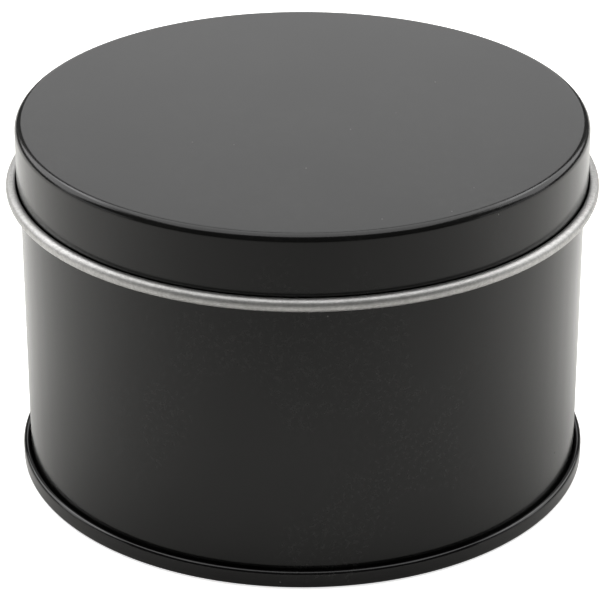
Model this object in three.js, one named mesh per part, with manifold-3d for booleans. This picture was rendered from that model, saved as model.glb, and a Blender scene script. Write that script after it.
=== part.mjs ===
// A round slip-lid candle tin: a rolled body wall, a base end double-seamed to it over a ring of
// sealing compound, and a drawn lid with an outward curled edge.
// Millimetres, +Z up. The origin is at the centre of the ring that the tin rests on.

import * as THREE from 'three';
import { mergeVertices } from 'three/addons/utils/BufferGeometryUtils.js';
import Module from 'manifold-3d';

// Driving dimensions.
const BODY_DIAMETER = 76.2; // outside of the body wall
const BODY_HEIGHT = 50.0; // resting plane to the top of the body's rim
const SHEET = 0.25; // tinplate thickness

const LID_HEIGHT = 9.97; // top of the panel to the bottom of the curl
const LID_CLEARANCE = 0.15; // between the skirt and the body wall, on the radius
const LID_CURL_DIAMETER = 1.73; // outside of the curl at the skirt's lower edge
const LID_CURL_TURN = 300; // degrees that the curl goes round
const REST_GAP = 0.03; // between pieces that lie on each other

const RIM_CURL_DIAMETER = 1.3; // outside of the inward curl at the body's mouth
const RIM_CURL_TURN = 270;

const SEAM_HEIGHT = 2.45; // of the double seam, from the resting plane
const SEAM_LAYER_GAP = 0.1; // between the folded layers of the seam
const SEAM_CORNER_RADIUS = 0.45; // of the seaming panel's bends, at mid-sheet
const HOOK_END_GAP = 0.6; // from the end of each hook to the seam's end, beyond the sheet
const COMPOUND_THICKNESS = 0.15;

const BASE_RECESS = 3.2; // resting plane to the underside of the base panel
const BASE_CORNER_RADIUS = 0.5; // panel into chuck wall, at mid-sheet
const BASE_STEP_RADIUS = 29; // where the raised middle of the base panel ends
const BASE_STEP_RISE = 0.6;
const BASE_STEP_BEND_RADIUS = 1.0;
const BASE_STEP_ANGLE = 30;

const SIDE_SEAM_WIDTH = 3.2; // of the lock seam down the inside of the body wall
const SIDE_SEAM_THICKNESS = 0.5; // that it stands in from the wall
const SIDE_SEAM_END_GAP = 0.5; // from the seam's ends to the base panel and to the rim's curl
const SIDE_SEAM_BITE = 0.05; // how far the seam's solid goes into the wall

// Facets.
const TURN_FACETS = 48; // round the axis, the same on every piece so that gaps stay parallel
const CURL_STEP = 30; // degrees, on the corners and curls that show
const FOLD_STEP = 45; // degrees, on the small folds of the seam

// Radii and heights that follow. "Mid" is the middle of the sheet.
const bodyOuter = BODY_DIAMETER / 2;
const bodyInner = bodyOuter - SHEET;
const bodyMid = bodyOuter - SHEET / 2;
const layerPitch = SHEET + SEAM_LAYER_GAP;
const chuckMid = bodyMid - layerPitch;
const bodyHookMid = bodyMid + 2 * layerPitch;
const seamWallMid = bodyMid + 3 * layerPitch;
const bodyFoldBottom = SHEET + 2 * REST_GAP + COMPOUND_THICKNESS;
const basePanelMid = BASE_RECESS + SHEET / 2;
const skirtMid = bodyOuter + LID_CLEARANCE + SHEET / 2;
const lidTop = BODY_HEIGHT + REST_GAP + SHEET;
const lidCornerMid = RIM_CURL_DIAMETER / 2 + LID_CLEARANCE + SHEET / 2; // follows the rim's curl

const materials = {
  coating: new THREE.MeshStandardMaterial({ color: 0x1b1b1c, roughness: 0.45, metalness: 0.1 }),
  compound: new THREE.MeshStandardMaterial({ color: 0x8d8f8a, roughness: 0.9, metalness: 0 }),
};

// The section of a folded sheet, drawn in the plane of radius and height as the path of its
// middle: straight runs and round bends. A bend of positive degrees turns to the left.
class SheetPath {
  constructor(radius, height, headingDegrees) {
    this.at = new THREE.Vector2(radius, height);
    this.heading = THREE.MathUtils.degToRad(headingDegrees);
    this.stations = [];
    this.mark();
  }

  left() {
    return new THREE.Vector2(-Math.sin(this.heading), Math.cos(this.heading));
  }

  mark() {
    this.stations.push({ at: this.at.clone(), left: this.left() });
  }

  run(length) {
    this.at.x += length * Math.cos(this.heading);
    this.at.y += length * Math.sin(this.heading);
    this.mark();
    return this;
  }

  runToRadius(radius) {
    return this.run((radius - this.at.x) / Math.cos(this.heading));
  }

  runToHeight(height) {
    return this.run((height - this.at.y) / Math.sin(this.heading));
  }

  bend(radius, degrees, stepDegrees) {
    const side = Math.sign(degrees);
    const centre = this.at.clone().addScaledVector(this.left(), side * radius);
    const steps = Math.ceil(Math.abs(degrees) / stepDegrees);
    for (let i = 0; i < steps; i += 1) {
      this.heading += THREE.MathUtils.degToRad(degrees / steps);
      this.at = centre.clone().addScaledVector(this.left(), -side * radius);
      this.mark();
    }
    return this;
  }

  // The points along the right of the sheet and back along its left.
  outline(thickness) {
    const offset = (station, distance) => station.at.clone().addScaledVector(station.left, distance);
    const right = this.stations.map((station) => offset(station, -thickness / 2));
    const back = this.stations.map((station) => offset(station, thickness / 2)).reverse();
    return [...right, ...back];
  }
}

// A solid turned about Z from an outline that runs anticlockwise in radius and height.
function turned(outline) {
  const startsOnAxis = Math.abs(outline[0].x) < 1e-9;
  const profile = startsOnAxis ? outline : [...outline, outline[0].clone()];
  const geometry = new THREE.LatheGeometry(profile, TURN_FACETS);
  return geometry.rotateX(Math.PI / 2);
}

function named(name, geometry, material) {
  const mesh = new THREE.Mesh(geometry, material);
  mesh.name = name;
  return mesh;
}

// Flat panel, corner, skirt, and the edge curled outwards and up.
function lidGeometry() {
  const curlMid = (LID_CURL_DIAMETER - SHEET) / 2;
  const curlCentreHeight = lidTop - LID_HEIGHT + LID_CURL_DIAMETER / 2;
  const path = new SheetPath(0, lidTop - SHEET / 2, 0)
    .runToRadius(skirtMid - lidCornerMid)
    .bend(lidCornerMid, -90, CURL_STEP)
    .runToHeight(curlCentreHeight)
    .bend(curlMid, LID_CURL_TURN, CURL_STEP);
  return turned(path.outline(SHEET));
}

// The body's hook in the base seam, the fold, the wall, and the edge curled into the mouth.
function bodyShellGeometry() {
  const foldCentreHeight = bodyFoldBottom + layerPitch + SHEET / 2;
  const curlMid = (RIM_CURL_DIAMETER - SHEET) / 2;
  const path = new SheetPath(bodyHookMid, SEAM_HEIGHT - HOOK_END_GAP, -90)
    .runToHeight(foldCentreHeight)
    .bend(layerPitch, -180, FOLD_STEP)
    .runToHeight(BODY_HEIGHT - RIM_CURL_DIAMETER / 2)
    .bend(curlMid, RIM_CURL_TURN, CURL_STEP);
  return turned(path.outline(SHEET));
}

// The lock seam, a flat band down the inside of the wall at the back.
function sideSeamGeometry() {
  const bottom = BASE_RECESS + SHEET + SIDE_SEAM_END_GAP;
  const top = BODY_HEIGHT - RIM_CURL_DIAMETER - SIDE_SEAM_END_GAP;
  const depth = SIDE_SEAM_THICKNESS + SIDE_SEAM_BITE;
  const band = new THREE.BoxGeometry(SIDE_SEAM_WIDTH, depth, top - bottom);
  return band.translate(0, bodyInner + SIDE_SEAM_BITE - depth / 2, (top + bottom) / 2);
}

// Stepped panel, chuck wall, seaming panel, seam wall, and the hook folded in behind the body's.
function baseEndGeometry() {
  const stepAngle = THREE.MathUtils.degToRad(BASE_STEP_ANGLE);
  const bendRise = 2 * BASE_STEP_BEND_RADIUS * (1 - Math.cos(stepAngle));
  const rampLength = (BASE_STEP_RISE - bendRise) / Math.sin(stepAngle);
  const path = new SheetPath(0, basePanelMid + BASE_STEP_RISE, 0)
    .runToRadius(BASE_STEP_RADIUS)
    .bend(BASE_STEP_BEND_RADIUS, -BASE_STEP_ANGLE, CURL_STEP)
    .run(rampLength)
    .bend(BASE_STEP_BEND_RADIUS, BASE_STEP_ANGLE, CURL_STEP)
    .runToRadius(chuckMid - BASE_CORNER_RADIUS)
    .bend(BASE_CORNER_RADIUS, -90, FOLD_STEP)
    .runToHeight(SHEET / 2 + SEAM_CORNER_RADIUS)
    .bend(SEAM_CORNER_RADIUS, 90, FOLD_STEP)
    .runToRadius(seamWallMid - SEAM_CORNER_RADIUS)
    .bend(SEAM_CORNER_RADIUS, 90, FOLD_STEP)
    .runToHeight(SEAM_HEIGHT - SHEET / 2 - layerPitch)
    .bend(layerPitch, 180, FOLD_STEP)
    .runToHeight(bodyFoldBottom + HOOK_END_GAP);
  return turned(path.outline(SHEET));
}

// The lining between the seaming panel and the body's fold.
function seamCompoundGeometry() {
  const inner = chuckMid + SEAM_CORNER_RADIUS;
  const outer = seamWallMid - SEAM_CORNER_RADIUS;
  const bottom = SHEET + REST_GAP;
  const top = bottom + COMPOUND_THICKNESS;
  return turned([
    new THREE.Vector2(inner, bottom),
    new THREE.Vector2(outer, bottom),
    new THREE.Vector2(outer, top),
    new THREE.Vector2(inner, top),
  ]);
}

const wasm = await Module();
wasm.setup();

function toManifold(geometry) {
  const bare = geometry.clone();
  bare.deleteAttribute('normal');
  bare.deleteAttribute('uv');
  const welded = mergeVertices(bare);
  return new wasm.Manifold(
    new wasm.Mesh({
      numProp: 3,
      vertProperties: new Float32Array(welded.attributes.position.array),
      triVerts: new Uint32Array(welded.index.array),
    }),
  );
}

function joined(first, second) {
  const mesh = toManifold(first).add(toManifold(second)).getMesh();
  const geometry = new THREE.BufferGeometry();
  geometry.setAttribute('position', new THREE.BufferAttribute(mesh.vertProperties, 3));
  geometry.setIndex(new THREE.BufferAttribute(mesh.triVerts, 1));
  geometry.computeVertexNormals();
  return geometry;
}

const tin = new THREE.Group();
tin.add(
  named('body_wall', joined(bodyShellGeometry(), sideSeamGeometry()), materials.coating),
  named('base_end', baseEndGeometry(), materials.coating),
  named('seam_compound', seamCompoundGeometry(), materials.compound),
  named('lid', lidGeometry(), materials.coating),
);

export default tin;
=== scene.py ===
"""A closed slip-lid candle tin of black-coated tinplate, with bare tin inside and on the lid's curl."""
import math

import bmesh
import bpy
from mathutils import Matrix, Vector


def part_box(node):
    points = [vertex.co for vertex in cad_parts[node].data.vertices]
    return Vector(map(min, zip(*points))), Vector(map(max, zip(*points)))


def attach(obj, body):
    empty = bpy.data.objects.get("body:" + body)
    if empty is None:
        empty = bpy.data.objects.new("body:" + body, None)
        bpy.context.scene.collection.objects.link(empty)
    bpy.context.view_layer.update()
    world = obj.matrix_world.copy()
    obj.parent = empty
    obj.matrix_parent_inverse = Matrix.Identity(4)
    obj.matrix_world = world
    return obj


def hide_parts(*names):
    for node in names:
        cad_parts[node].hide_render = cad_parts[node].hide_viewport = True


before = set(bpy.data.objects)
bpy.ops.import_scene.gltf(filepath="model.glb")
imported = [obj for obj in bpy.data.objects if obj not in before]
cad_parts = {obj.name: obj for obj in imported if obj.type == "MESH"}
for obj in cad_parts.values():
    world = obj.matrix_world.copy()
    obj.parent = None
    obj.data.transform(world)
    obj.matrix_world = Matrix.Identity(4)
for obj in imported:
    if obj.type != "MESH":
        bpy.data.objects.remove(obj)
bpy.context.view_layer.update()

MM = 0.001

# The sheet and its folds, in metres and degrees. Radii and heights come from the frame below.
SHEET = 0.25 * MM
LID_CURL_DIAMETER = 1.73 * MM
LID_CURL_TURN = 300
LID_CLEARANCE = 0.15 * MM
RIM_CURL_DIAMETER = 1.3 * MM
RIM_CURL_TURN = 270
SEAM_HEIGHT = 2.45 * MM
SEAM_LAYER_GAP = 0.1 * MM
SEAM_CORNER_RADIUS = 0.45 * MM  # at mid-sheet
HOOK_END_GAP = 0.6 * MM
BASE_CORNER_RADIUS = 0.5 * MM  # at mid-sheet
BASE_STEP_RADIUS = 29 * MM
BASE_STEP_RISE = 0.6 * MM
BASE_STEP_BEND_RADIUS = 1.0 * MM
BASE_STEP_ANGLE = 30
SIDE_SEAM_WIDTH = 3.2 * MM
SIDE_SEAM_THICKNESS = 0.5 * MM
SIDE_SEAM_END_GAP = 0.5 * MM
SIDE_SEAM_BITE = 0.05 * MM  # how far the fold goes into the wall
SIDE_SEAM_ROUNDING = 0.2 * MM
SIDE_GROOVE_HALF_WIDTH = 0.3 * MM
SIDE_GROOVE_CUTS = (-1, -0.6, -0.3, 0.3, 0.6, 1)  # shares of the half width
SIDE_GROOVE_PRESSED_SHARE = 0.5
SIDE_GROOVE_DEPTH = 0.3 * MM
SIDE_GROOVE_RAMP = 1.2 * MM  # height in which it reaches its full depth

# Mesh fineness.
TURN_STEPS = 240
DEGREES_PER_BEND_STEP = 7.5
LEAST_BEND_STEPS = 3
ROUNDING_STEPS = 5
RING_SECTION_SIDES = 16
SUPPORT = 0.15 * MM  # from each end of a long run to the loop that keeps it flat
MERGE = 1e-7  # points nearer to each other than this are one
UPRIGHT = 0.1  # largest Z of an upright face's normal

# The two black coatings. A pair is the value at the skin's darkest and at its lightest tone.
SATIN = {
    "ior": 1.42,
    "colours": ((0.003, 0.003, 0.0028), (0.0055, 0.0055, 0.0051)),
    "roughness": (0.16, 0.2),
    "ripple": 0.004 * MM,
}
LACQUER = {
    "ior": 1.44,
    "colours": ((0.0012, 0.001, 0.0011), (0.002, 0.0016, 0.0018)),
    "roughness": (0.05, 0.08),
    "ripple": 0.003 * MM,
}
SKIN_TONES = (0.3, 0.7)  # the part of the noise that spans dark to light

# Marks on the surfaces. Scales are in features per metre.
RIPPLE_SCALE = 900.0
TONE_SCALE = 45.0
DUST_COLOUR = (0.17, 0.17, 0.165)
DUST_SCALE = 330.0
DUST_SPECK = (0.015, 0.045)  # solid and faded radius, as shares of a cell
DUST_ROUGHNESS = 0.4  # added to the coating's
COATING_DUST = 0.25  # share of the cells that hold a speck
TIN_DUST = 0.35
SCUFF_COLOUR = (0.014, 0.014, 0.0135)
SCUFF_SCALE = 1800.0
SCUFF_NOISE = (0.5, 0.64)  # no mark below the first, full above the second
SCUFF_PATCH_SCALE = 45.0
SCUFF_PATCH_NOISE = (0.4, 0.56)

# Bare tin. Each grain's noise has a scale for X, Y and Z, and its lines run along X.
TIN_DARK = (0.43, 0.425, 0.415)
TIN_LIGHT = (0.55, 0.545, 0.535)
FINE_GRAIN = (120, 5200, 120)
BROAD_GRAIN = (40, 900, 40)
FINE_GRAIN_SHARE = 0.6
PRESSED_SCALE = 2600.0
PRESSED_SHARE = 0.5
SHADE_NOISE = (0.38, 0.62)  # the part of the noise that spans TIN_DARK to TIN_LIGHT
ROUGHNESS_NOISE = (0.35, 0.65)  # the part of the grain's noise that spans TIN_ROUGHNESS
TIN_ROUGHNESS = (0.53, 0.45)
GRAIN_RELIEF = 0.0015 * MM
PRESSED_RELIEF = 0.02 * MM

COMPOUND_DARK = (0.33, 0.34, 0.32)
COMPOUND_LIGHT = (0.45, 0.46, 0.44)
COMPOUND_ROUGHNESS = 0.8
COMPOUND_RELIEF = 0.01 * MM

# The studio. Angles are in degrees, azimuth 0 is on +X and 90 on +Y.
CAMERA_ELEVATION = 26.61
CAMERA_DISTANCE = 0.40755
CAMERA_TARGET = (-0.00033, 0, 0.0223)
CAMERA_LENS = 177.1  # in millimetres, as the sensor's width is
SENSOR_WIDTH = 36
CAMERA_CLIP = (0.01, 20)
# Painted shade on the floor: its colour goes from FLOOR_LIT to FLOOR_SHADED towards the front.
FLOOR_SHADED = (0.5, 0.495, 0.48)
FLOOR_LIT = (0.96, 0.95, 0.92)
FLOOR_ROUGHNESS = 0.9
FLOOR_FORWARD = (0.3, 1.0)  # how far towards the front the shading starts and is full
FLOOR_REACH = (45 * MM, 115 * MM)  # distances from the axis between which it deepens
FLOOR_NEAR_SHADE = 0.35  # share of the shading that is there at the nearer distance
FLOOR_RADIUS = 4.0
FLOOR_SIDES = 64
FLOOR_GAP = 0.02 * MM
FLOOR_LIFT = 0.75  # brightness that only the camera sees
WORLD_RADIANCE = 0.1
LIGHTS = (  # name, azimuth, elevation, distance, (width, height), radiance
    ("back_wall", 90, 17, 1.5, (0.7, 1.0), 1.08),
    ("overhead", 90, 78, 1.0, (1.4, 1.3), 2.3),
    ("left_back", 150, 35, 0.75, (0.6, 0.46), 2.5),
    ("right_back", 30, 35, 0.75, (0.6, 0.46), 2.3),
    ("left_low", 183, 9, 1.2, (0.8, 0.32), 0.8),
    ("right_low", -3, 9, 1.2, (0.8, 0.32), 0.72),
)

# Places that the frame gives.
LID_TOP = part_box("lid")[1].z
LID_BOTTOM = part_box("lid")[0].z
LID_CURL_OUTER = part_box("lid")[1].x
RIM_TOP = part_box("body_wall")[1].z
FOLD_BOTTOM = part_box("body_wall")[0].z
SEAM_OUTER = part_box("base_end")[1].x
BASE_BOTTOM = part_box("base_end")[0].z
BASE_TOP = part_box("base_end")[1].z
RING_LOW, RING_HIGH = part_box("seam_compound")

LAYER_PITCH = SHEET + SEAM_LAYER_GAP
SEAM_WALL_MID = SEAM_OUTER - SHEET / 2
BODY_MID = SEAM_WALL_MID - 3 * LAYER_PITCH
BODY_HOOK_MID = BODY_MID + 2 * LAYER_PITCH
CHUCK_MID = BODY_MID - LAYER_PITCH
BODY_INNER = BODY_MID - SHEET / 2
SKIRT_MID = LID_CURL_OUTER - LID_CURL_DIAMETER + SHEET / 2
LID_CORNER_MID = RIM_CURL_DIAMETER / 2 + LID_CLEARANCE + SHEET / 2


# Shapes.

def turn_about_z(bm):
    """Turns the section in the bmesh into a closed surface about Z."""
    bmesh.ops.spin(
        bm,
        geom=bm.verts[:] + bm.edges[:],
        cent=(0, 0, 0),
        axis=(0, 0, 1),
        angle=math.tau,
        steps=TURN_STEPS,
        use_merge=True,
        use_duplicate=False,
    )
    bmesh.ops.remove_doubles(bm, verts=bm.verts, dist=MERGE)
    bmesh.ops.recalc_face_normals(bm, faces=bm.faces)


class SheetSection:
    """The mid-line of a folded sheet in the plane y = 0, drawn with straight runs and round bends."""

    def __init__(self, radius, height, heading_degrees):
        self.bm = bmesh.new()
        self.heading = math.radians(heading_degrees)
        self.end = self.bm.verts.new((radius, 0, height))

    def direction(self):
        """The way the sheet is heading."""
        return Vector((math.cos(self.heading), 0, math.sin(self.heading)))

    def left(self):
        """Square to the heading, on its left."""
        return Vector((-math.sin(self.heading), 0, math.cos(self.heading)))

    def step(self, distance):
        """Grows the line straight on by one edge."""
        grown = bmesh.ops.extrude_vert_indiv(self.bm, verts=[self.end])
        self.end = grown["verts"][0]
        bmesh.ops.translate(self.bm, verts=[self.end], vec=self.direction() * distance)

    def run(self, length):
        """Goes straight on, with a loop near each end of a long run."""
        if length > 4 * SUPPORT:
            for part in (SUPPORT, length - 2 * SUPPORT, SUPPORT):
                self.step(part)
        else:
            self.step(length)
        return self

    def run_to_radius(self, radius):
        return self.run((radius - self.end.co.x) / math.cos(self.heading))

    def run_to_height(self, height):
        return self.run((height - self.end.co.z) / math.sin(self.heading))

    def bend(self, radius, degrees):
        """Turns to the left by positive degrees."""
        side = math.copysign(1, degrees)
        bent = bmesh.ops.spin(
            self.bm,
            geom=[self.end],
            cent=self.end.co + self.left() * (side * radius),
            axis=(0, -1, 0),
            angle=math.radians(degrees),
            steps=max(LEAST_BEND_STEPS, round(abs(degrees) / DEGREES_PER_BEND_STEP)),
            use_duplicate=False,
        )
        self.end = next(v for v in bent["geom_last"] if isinstance(v, bmesh.types.BMVert))
        self.heading += math.radians(degrees)
        return self

    def turned(self):
        """The mid-surface, turned about Z."""
        turn_about_z(self.bm)
        return self.bm


def face_out(bm, point, normal):
    """Turns the surface over if its face nearest to the point looks away from the normal."""
    nearest = min(bm.faces, key=lambda f: (f.calc_center_median() - point).length_squared)
    if nearest.normal.dot(normal) < 0:
        bmesh.ops.reverse_faces(bm, faces=bm.faces)


def add_mesh(name, bm, materials):
    """Links a new object with the bmesh's mesh and the materials."""
    mesh = bpy.data.meshes.new(name)
    bm.to_mesh(mesh)
    bm.free()
    made = bpy.data.objects.new(name, mesh)
    bpy.context.collection.objects.link(made)
    for material in materials:
        mesh.materials.append(material)
    return made


def finished(name, bm, materials, body, node):
    """Makes the piece from its bmesh, smooth, with its materials, riding on its body."""
    for face in bm.faces:
        face.smooth = True
    piece = add_mesh(name, bm, materials)
    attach(piece, body)
    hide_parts(node)
    return piece


def give_sheet_thickness(piece):
    """Adds thickness about the mid-surface, with bare tin on the inner side and the cut edges."""
    wall = piece.modifiers.new("sheet", "SOLIDIFY")
    wall.thickness = SHEET
    wall.offset = 0
    wall.use_even_offset = True
    wall.material_offset = 1
    wall.material_offset_rim = 1


def make_lid(coating, tinplate):
    """Flat panel, rounded corner, skirt, and the edge curled outwards and up."""
    curl_mid = (LID_CURL_DIAMETER - SHEET) / 2
    bm = (
        SheetSection(0, LID_TOP - SHEET / 2, 0)
        .run_to_radius(SKIRT_MID - LID_CORNER_MID)
        .bend(LID_CORNER_MID, -90)
        .run_to_height(LID_BOTTOM + LID_CURL_DIAMETER / 2)
        .bend(curl_mid, LID_CURL_TURN)
        .turned()
    )
    face_out(bm, Vector((0, 0, LID_TOP)), Vector((0, 0, 1)))
    lid = finished("lid_drawn_shell", bm, [coating, tinplate], "lid", "lid")
    give_sheet_thickness(lid)


def is_back_wall(face):
    """Whether a face is of the upright wall, close to the side seam."""
    centre = face.calc_center_median()
    upright = abs(face.normal.z) < UPRIGHT and abs(centre.to_2d().length - BODY_MID) < SHEET / 2
    return upright and centre.y > 0 and abs(centre.x) < SIDE_SEAM_WIDTH


def cut_side_groove(bm):
    """Presses the fine upright line where the wall's two edges hook together, at the back."""
    bottom = BASE_BOTTOM + SEAM_HEIGHT + SIDE_SEAM_END_GAP
    top = RIM_TOP - RIM_CURL_DIAMETER - SIDE_SEAM_END_GAP
    levels = (bottom, bottom + SIDE_GROOVE_RAMP, top - SIDE_GROOVE_RAMP, top)
    cuts = [(Vector((0, 0, level)), Vector((0, 0, 1))) for level in levels]
    for share in SIDE_GROOVE_CUTS:
        cuts.append((Vector((share * SIDE_GROOVE_HALF_WIDTH, 0, 0)), Vector((1, 0, 0))))
    for point, normal in cuts:
        wall = [f for f in bm.faces if is_back_wall(f)]
        geom = set(wall) | {e for f in wall for e in f.edges} | {v for f in wall for v in f.verts}
        bmesh.ops.bisect_plane(bm, geom=list(geom), dist=MERGE, plane_co=point, plane_no=normal)
    reach = SIDE_GROOVE_PRESSED_SHARE * SIDE_GROOVE_HALF_WIDTH
    pressed = [
        v for v in bm.verts
        if abs(v.co.x) < reach and abs(v.co.y - BODY_MID) < SHEET / 2
        and bottom + MERGE < v.co.z < top - MERGE
    ]
    bmesh.ops.translate(bm, verts=pressed, vec=(0, -SIDE_GROOVE_DEPTH, 0))


def make_body_wall(coating, tinplate):
    """The hook in the base seam, the fold below it, the wall, and the edge curled into the mouth."""
    curl_mid = (RIM_CURL_DIAMETER - SHEET) / 2
    bm = (
        SheetSection(BODY_HOOK_MID, BASE_BOTTOM + SEAM_HEIGHT - HOOK_END_GAP, -90)
        .run_to_height(FOLD_BOTTOM + LAYER_PITCH + SHEET / 2)
        .bend(LAYER_PITCH, -180)
        .run_to_height(RIM_TOP - RIM_CURL_DIAMETER / 2)
        .bend(curl_mid, RIM_CURL_TURN)
        .turned()
    )
    face_out(bm, Vector((BODY_MID, 0, RIM_TOP / 2)), Vector((1, 0, 0)))
    cut_side_groove(bm)
    wall = finished("rolled_body_wall", bm, [coating, tinplate], "tin", "body_wall")
    give_sheet_thickness(wall)


def make_side_seam_fold(tinplate):
    """The flattened fold of the lock seam, down the inside of the wall at the back."""
    bottom = BASE_TOP - BASE_STEP_RISE + SIDE_SEAM_END_GAP
    top = RIM_TOP - RIM_CURL_DIAMETER - SIDE_SEAM_END_GAP
    depth = SIDE_SEAM_THICKNESS + SIDE_SEAM_BITE
    size = Matrix.Diagonal((SIDE_SEAM_WIDTH, depth, top - bottom, 1))
    place = Matrix.Translation((0, BODY_INNER + SIDE_SEAM_BITE - depth / 2, (top + bottom) / 2))
    bm = bmesh.new()
    bmesh.ops.create_cube(bm, size=1, matrix=place @ size)
    inner_edges = [e for e in bm.edges if all(v.co.y < BODY_INNER for v in e.verts)]
    bmesh.ops.bevel(
        bm, geom=inner_edges, offset=SIDE_SEAM_ROUNDING, affect="EDGES", segments=ROUNDING_STEPS,
        profile=0.5, material=-1,
    )
    bmesh.ops.recalc_face_normals(bm, faces=bm.faces)
    finished("side_seam_fold", bm, [tinplate], "tin", "body_wall")


def make_base_end(lacquer, tinplate):
    """Stepped panel, chuck wall, seaming panel, seam wall, and the hook behind the body's."""
    angle = math.radians(BASE_STEP_ANGLE)
    ramp = (BASE_STEP_RISE - 2 * BASE_STEP_BEND_RADIUS * (1 - math.cos(angle))) / math.sin(angle)
    bm = (
        SheetSection(0, BASE_TOP - SHEET / 2, 0)
        .run_to_radius(BASE_STEP_RADIUS)
        .bend(BASE_STEP_BEND_RADIUS, -BASE_STEP_ANGLE)
        .run(ramp)
        .bend(BASE_STEP_BEND_RADIUS, BASE_STEP_ANGLE)
        .run_to_radius(CHUCK_MID - BASE_CORNER_RADIUS)
        .bend(BASE_CORNER_RADIUS, -90)
        .run_to_height(BASE_BOTTOM + SHEET / 2 + SEAM_CORNER_RADIUS)
        .bend(SEAM_CORNER_RADIUS, 90)
        .run_to_radius(SEAM_WALL_MID - SEAM_CORNER_RADIUS)
        .bend(SEAM_CORNER_RADIUS, 90)
        .run_to_height(BASE_BOTTOM + SEAM_HEIGHT - SHEET / 2 - LAYER_PITCH)
        .bend(LAYER_PITCH, 180)
        .run_to_height(FOLD_BOTTOM + HOOK_END_GAP)
        .turned()
    )
    face_out(bm, Vector((0, 0, BASE_TOP)), Vector((0, 0, -1)))
    end = finished("seamed_base_end", bm, [lacquer, tinplate], "tin", "base_end")
    give_sheet_thickness(end)


def make_sealing_ring(compound):
    """The flowed-in lining of the base seam, an oval section turned about Z."""
    middle = (RING_HIGH.x + CHUCK_MID + SEAM_CORNER_RADIUS) / 2
    half_width = RING_HIGH.x - middle
    half_height = (RING_HIGH.z - RING_LOW.z) / 2
    bm = bmesh.new()
    upright = Matrix.Rotation(math.pi / 2, 4, "X")
    place = Matrix.Translation((middle, 0, (RING_HIGH.z + RING_LOW.z) / 2))
    bmesh.ops.create_circle(bm, radius=1, segments=RING_SECTION_SIDES, matrix=upright)
    bmesh.ops.scale(bm, verts=bm.verts, vec=(half_width, 1, half_height))
    bmesh.ops.transform(bm, verts=bm.verts, matrix=place)
    turn_about_z(bm)
    finished("sealing_ring", bm, [compound], "tin", "seam_compound")


# Shader building.

def feed(tree, socket, value):
    """Links the socket if the value is another socket, and sets it otherwise."""
    if isinstance(value, bpy.types.NodeSocket):
        tree.links.new(value, socket)
    else:
        socket.default_value = value


def add_node(tree, kind, settings=None, **inputs):
    """A node with its settings, and with each named input fed.

    An underscore stands for a space in an input's name, and i0, i1 and so on name an input by number.
    """
    node = tree.nodes.new(kind)
    for attribute, value in (settings or {}).items():
        setattr(node, attribute, value)
    for label, value in inputs.items():
        numbered = label[0] == "i" and label[1:].isdigit()
        feed(tree, node.inputs[int(label[1:]) if numbered else label.replace("_", " ")], value)
    return node


def maths(tree, operation, first, second):
    """The result of a Math node."""
    node = add_node(tree, "ShaderNodeMath", {"operation": operation}, i0=first, i1=second)
    return node.outputs[0]


def blended(tree, first, first_share, second, second_share):
    """The sum of two values, each times its share."""
    return maths(
        tree, "ADD", maths(tree, "MULTIPLY", first, first_share),
        maths(tree, "MULTIPLY", second, second_share),
    )


def spread(tree, value, low, high, to_low=0.0, to_high=1.0):
    """Value from low..high, clamped, to to_low..to_high."""
    node = add_node(
        tree, "ShaderNodeMapRange", {"clamp": True},
        Value=value, From_Min=low, From_Max=high, To_Min=to_low, To_Max=to_high,
    )
    return node.outputs["Result"]


def noise(tree, place, scale, detail=2.0, roughness=0.5):
    """Even noise from 0 to 1."""
    node = add_node(
        tree, "ShaderNodeTexNoise", Vector=place, Scale=scale, Detail=detail, Roughness=roughness
    )
    return node.outputs["Fac"]


def stretched_noise(tree, place, scales, detail=2.0, roughness=0.5):
    """Noise with its own scale along each of the coordinates."""
    mapped = add_node(tree, "ShaderNodeMapping", Vector=place, Scale=scales)
    return noise(tree, mapped.outputs["Vector"], 1.0, detail, roughness)


def mix_colours(tree, share, first, second):
    """The first colour at a share of 0, and the second at 1."""
    first, second = ((*c, 1) if isinstance(c, tuple) else c for c in (first, second))
    node = add_node(tree, "ShaderNodeMix", {"data_type": "RGBA"}, i0=share, i6=first, i7=second)
    return node.outputs[2]


def add_bump(tree, shader, height, distance):
    """Raises the surface by distance where the height is 1."""
    bump = add_node(tree, "ShaderNodeBump", Height=height, Distance=distance, Strength=1.0)
    tree.links.new(bump.outputs["Normal"], shader.inputs["Normal"])


# Node groups.

def new_group(name, inputs, outputs):
    """An empty shader node group, its inner input and output nodes, and its node tree."""
    tree = bpy.data.node_groups.new(name, "ShaderNodeTree")
    for label, kind in inputs:
        tree.interface.new_socket(label, in_out="INPUT", socket_type=kind)
    for label, kind in outputs:
        tree.interface.new_socket(label, in_out="OUTPUT", socket_type=kind)
    return tree, tree.nodes.new("NodeGroupInput"), tree.nodes.new("NodeGroupOutput")


def use_group(tree, group, **inputs):
    """The node that places a group in a material, with its inputs fed."""
    return add_node(tree, "ShaderNodeGroup", {"node_tree": group}, **inputs)


def make_skin_group():
    """The fine skin of a sprayed coating: its slight ripple, and slow changes of tone."""
    tree, given, out = new_group(
        "coating_skin",
        [("Vector", "NodeSocketVector")],
        [("Height", "NodeSocketFloat"), ("Tone", "NodeSocketFloat")],
    )
    place = given.outputs["Vector"]
    ripple = noise(tree, place, RIPPLE_SCALE, detail=3.0, roughness=0.55)
    tree.links.new(ripple, out.inputs["Height"])
    tree.links.new(noise(tree, place, TONE_SCALE), out.inputs["Tone"])
    return tree


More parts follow.
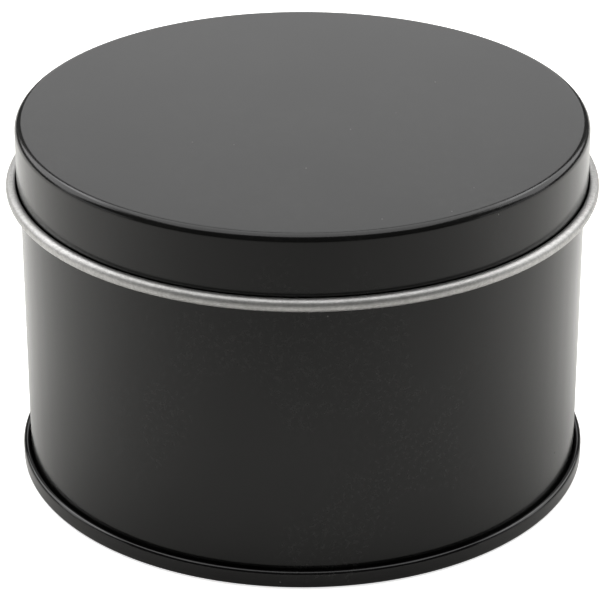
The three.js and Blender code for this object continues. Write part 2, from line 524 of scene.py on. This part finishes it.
def make_dust_group():
    """Sparse specks that lie on a surface, as a mask. Amount is the share of cells that hold one."""
    tree, given, out = new_group(
        "fine_dust",
        [("Vector", "NodeSocketVector"), ("Amount", "NodeSocketFloat")],
        [("Mask", "NodeSocketFloat")],
    )
    specks = add_node(
        tree, "ShaderNodeTexVoronoi", {"feature": "F1"},
        Vector=given.outputs["Vector"], Scale=DUST_SCALE,
    )
    near = spread(tree, specks.outputs["Distance"], *DUST_SPECK, 1.0, 0.0)
    chance = add_node(tree, "ShaderNodeSeparateColor", Color=specks.outputs["Color"]).outputs["Red"]
    wanted = maths(tree, "LESS_THAN", chance, given.outputs["Amount"])
    tree.links.new(maths(tree, "MULTIPLY", near, wanted), out.inputs["Mask"])
    return tree


def make_scuff_group():
    """Faint marks of handling, a mask of fine mottling in a few patches."""
    tree, given, out = new_group(
        "handling_scuffs", [("Vector", "NodeSocketVector")], [("Mask", "NodeSocketFloat")]
    )
    mottling = noise(tree, given.outputs["Vector"], SCUFF_SCALE, detail=3.0, roughness=0.7)
    patches = noise(tree, given.outputs["Vector"], SCUFF_PATCH_SCALE)
    marks = spread(tree, mottling, *SCUFF_NOISE)
    marked = spread(tree, patches, *SCUFF_PATCH_NOISE)
    tree.links.new(maths(tree, "MULTIPLY", marks, marked), out.inputs["Mask"])
    return tree


def make_tin_surface_group():
    """The surface of rolled and pressed tin: its relief in metres, its shade and its roughness.

    Grain Vector is what the rolled grain follows, along its X. The pressed texture follows Vector.
    """
    tree, given, out = new_group(
        "tin_surface",
        [("Grain Vector", "NodeSocketVector"), ("Vector", "NodeSocketVector")],
        [("Height", "NodeSocketFloat"), ("Shade", "NodeSocketFloat"), ("Roughness", "NodeSocketFloat")],
    )
    along = given.outputs["Grain Vector"]
    fine = stretched_noise(tree, along, FINE_GRAIN, detail=4.0, roughness=0.6)
    broad = stretched_noise(tree, along, BROAD_GRAIN)
    grain = blended(tree, fine, FINE_GRAIN_SHARE, broad, 1 - FINE_GRAIN_SHARE)
    pressed = noise(tree, given.outputs["Vector"], PRESSED_SCALE)
    both = blended(tree, grain, 1 - PRESSED_SHARE, pressed, PRESSED_SHARE)
    tree.links.new(blended(tree, fine, GRAIN_RELIEF, pressed, PRESSED_RELIEF), out.inputs["Height"])
    roughness = spread(tree, grain, *ROUGHNESS_NOISE, *TIN_ROUGHNESS)
    tree.links.new(spread(tree, both, *SHADE_NOISE), out.inputs["Shade"])
    tree.links.new(roughness, out.inputs["Roughness"])
    return tree


# Materials.

def new_material(name, metallic=0.0, ior=1.45):
    """A material, its node tree, its Principled BSDF and the piece's Object coordinates."""
    material = bpy.data.materials.new(name)
    material.use_nodes = True
    tree = material.node_tree
    shader = tree.nodes["Principled BSDF"]
    shader.inputs["Metallic"].default_value = metallic
    shader.inputs["IOR"].default_value = ior
    place = tree.nodes.new("ShaderNodeTexCoord").outputs["Object"]
    return material, tree, shader, place


def make_coating(name, groups, finish):
    """A black organic coating on tinplate, with dust and marks of handling."""
    material, tree, shader, place = new_material(name, ior=finish["ior"])
    skin = use_group(tree, groups["skin"], Vector=place)
    dust = use_group(tree, groups["dust"], Vector=place, Amount=COATING_DUST)
    scuffs = use_group(tree, groups["scuffs"], Vector=place)
    tone = spread(tree, skin.outputs["Tone"], *SKIN_TONES)
    clean = mix_colours(tree, tone, *finish["colours"])
    colour = mix_colours(tree, scuffs.outputs["Mask"], clean, SCUFF_COLOUR)
    dusty = mix_colours(tree, dust.outputs["Mask"], colour, DUST_COLOUR)
    tree.links.new(dusty, shader.inputs["Base Color"])
    bare_roughness = spread(tree, skin.outputs["Tone"], *SKIN_TONES, *finish["roughness"])
    dust_roughness = maths(tree, "MULTIPLY", dust.outputs["Mask"], DUST_ROUGHNESS)
    tree.links.new(maths(tree, "ADD", bare_roughness, dust_roughness), shader.inputs["Roughness"])
    add_bump(tree, shader, skin.outputs["Height"], finish["ripple"])
    return material


def round_the_axis(tree, place):
    """Coordinates that follow a wall about Z: height along X, and the way round along Y."""
    parts = add_node(tree, "ShaderNodeSeparateXYZ", Vector=place)
    angle = maths(tree, "ARCTAN2", parts.outputs["X"], parts.outputs["Y"])
    way_round = maths(tree, "MULTIPLY", angle, BODY_MID)
    wound = add_node(tree, "ShaderNodeCombineXYZ", X=parts.outputs["Z"], Y=way_round)
    return wound.outputs["Vector"]


def lie_flat(tree, place):
    """Coordinates of the flat blank before it was drawn: height is left out."""
    flat = add_node(tree, "ShaderNodeVectorMath", {"operation": "MULTIPLY"}, i0=place, i1=(1, 1, 0))
    return flat.outputs[0]


def make_tinplate(name, groups, follow):
    """Bare tinplate with rolled grain, follow giving the coordinates that the grain runs in."""
    material, tree, shader, place = new_material(name, metallic=1.0)
    surface = use_group(tree, groups["tin"], Grain_Vector=follow(tree, place), Vector=place)
    dust = use_group(tree, groups["dust"], Vector=place, Amount=TIN_DUST)
    metal = mix_colours(tree, surface.outputs["Shade"], TIN_DARK, TIN_LIGHT)
    dusty = mix_colours(tree, dust.outputs["Mask"], metal, DUST_COLOUR)
    tree.links.new(dusty, shader.inputs["Base Color"])
    tree.links.new(surface.outputs["Roughness"], shader.inputs["Roughness"])
    add_bump(tree, shader, surface.outputs["Height"], 1.0)
    return material


def make_compound(groups):
    """The grey sealing compound of the base seam."""
    material, tree, shader, place = new_material("sealing_compound")
    shader.inputs["Roughness"].default_value = COMPOUND_ROUGHNESS
    skin = use_group(tree, groups["skin"], Vector=place)
    colour = mix_colours(tree, skin.outputs["Tone"], COMPOUND_DARK, COMPOUND_LIGHT)
    tree.links.new(colour, shader.inputs["Base Color"])
    add_bump(tree, shader, skin.outputs["Height"], COMPOUND_RELIEF)
    return material


# The studio.

def add_panel_light(name, azimuth, elevation, distance, size, radiance):
    """A soft rectangular light that faces the tin."""
    a, e = math.radians(azimuth), math.radians(elevation)
    towards = Vector((math.cos(a) * math.cos(e), math.sin(a) * math.cos(e), math.sin(e)))
    data = bpy.data.lights.new(name, "AREA")
    data.shape = "RECTANGLE"
    data.size, data.size_y = size
    data.energy = radiance * math.pi * size[0] * size[1]
    lamp = bpy.data.objects.new(name, data)
    lamp.location = towards * distance
    lamp.rotation_mode = "QUATERNION"
    lamp.rotation_quaternion = towards.to_track_quat("Z", "Y")
    lamp.visible_camera = False
    bpy.context.collection.objects.link(lamp)


def make_floor():
    """A matt floor with shade painted into its colour towards the front, that the camera sees as white.
    """
    material, tree, shader, place = new_material("studio_floor")
    shader.inputs["Roughness"].default_value = FLOOR_ROUGHNESS
    shader.inputs["Specular IOR Level"].default_value = 0.0
    shader.inputs["Emission Color"].default_value = (1, 1, 1, 1)
    way = add_node(tree, "ShaderNodeVectorMath", {"operation": "NORMALIZE"}, i0=place)
    parts = add_node(tree, "ShaderNodeSeparateXYZ", Vector=way.outputs["Vector"])
    forward = maths(tree, "MULTIPLY", parts.outputs["Y"], -1.0)
    reach = add_node(tree, "ShaderNodeVectorMath", {"operation": "LENGTH"}, i0=place).outputs["Value"]
    # Painted shade: the floor's colour darkens towards the front, and more so farther from the tin.
    shade = maths(
        tree, "MULTIPLY", spread(tree, forward, *FLOOR_FORWARD),
        spread(tree, reach, *FLOOR_REACH, FLOOR_NEAR_SHADE, 1.0),
    )
    tree.links.new(mix_colours(tree, shade, FLOOR_LIT, FLOOR_SHADED), shader.inputs["Base Color"])
    seen = tree.nodes.new("ShaderNodeLightPath").outputs["Is Camera Ray"]
    tree.links.new(maths(tree, "MULTIPLY", seen, FLOOR_LIFT), shader.inputs["Emission Strength"])
    bm = bmesh.new()
    bmesh.ops.create_circle(bm, cap_ends=True, radius=FLOOR_RADIUS, segments=FLOOR_SIDES)
    bmesh.ops.translate(bm, verts=bm.verts, vec=(0, 0, BASE_BOTTOM - FLOOR_GAP))
    add_mesh("studio_floor", bm, [material])


def make_world():
    """Dim and even light from all round, that the camera sees as white."""
    world = bpy.data.worlds.new("studio")
    world.use_nodes = True
    tree = world.node_tree
    background = tree.nodes["Background"]
    seen = tree.nodes.new("ShaderNodeLightPath").outputs["Is Camera Ray"]
    tree.links.new(spread(tree, seen, 0, 1, WORLD_RADIANCE, 1.0), background.inputs["Strength"])
    background.inputs["Color"].default_value = (1, 1, 1, 1)
    bpy.context.scene.world = world


def make_camera():
    """The camera, in front of the tin and looking down on it."""
    a = math.radians(CAMERA_ELEVATION)
    back = Vector((0, -math.cos(a), math.sin(a)))
    data = bpy.data.cameras.new("camera")
    data.sensor_width = SENSOR_WIDTH
    data.lens = CAMERA_LENS
    data.clip_start, data.clip_end = CAMERA_CLIP
    camera = bpy.data.objects.new("camera", data)
    camera.location = Vector(CAMERA_TARGET) + back * CAMERA_DISTANCE
    camera.rotation_mode = "QUATERNION"
    camera.rotation_quaternion = back.to_track_quat("Z", "Y")
    bpy.context.collection.objects.link(camera)
    bpy.context.scene.camera = camera


groups = {
    "skin": make_skin_group(),
    "dust": make_dust_group(),
    "tin": make_tin_surface_group(),
    "scuffs": make_scuff_group(),
}
satin_black = make_coating("satin_black_coating", groups, SATIN)
gloss_black = make_coating("semi_gloss_black_lacquer", groups, LACQUER)
drawn_tin = make_tinplate("bare_tinplate_drawn", groups, lie_flat)
rolled_tin = make_tinplate("bare_tinplate_rolled", groups, round_the_axis)

make_lid(satin_black, drawn_tin)
make_body_wall(satin_black, rolled_tin)
make_side_seam_fold(rolled_tin)
make_base_end(gloss_black, drawn_tin)
make_sealing_ring(make_compound(groups))

make_floor()
make_world()
for light in LIGHTS:
    add_panel_light(*light)
make_camera()
bpy.context.scene.view_settings.view_transform = "Standard"
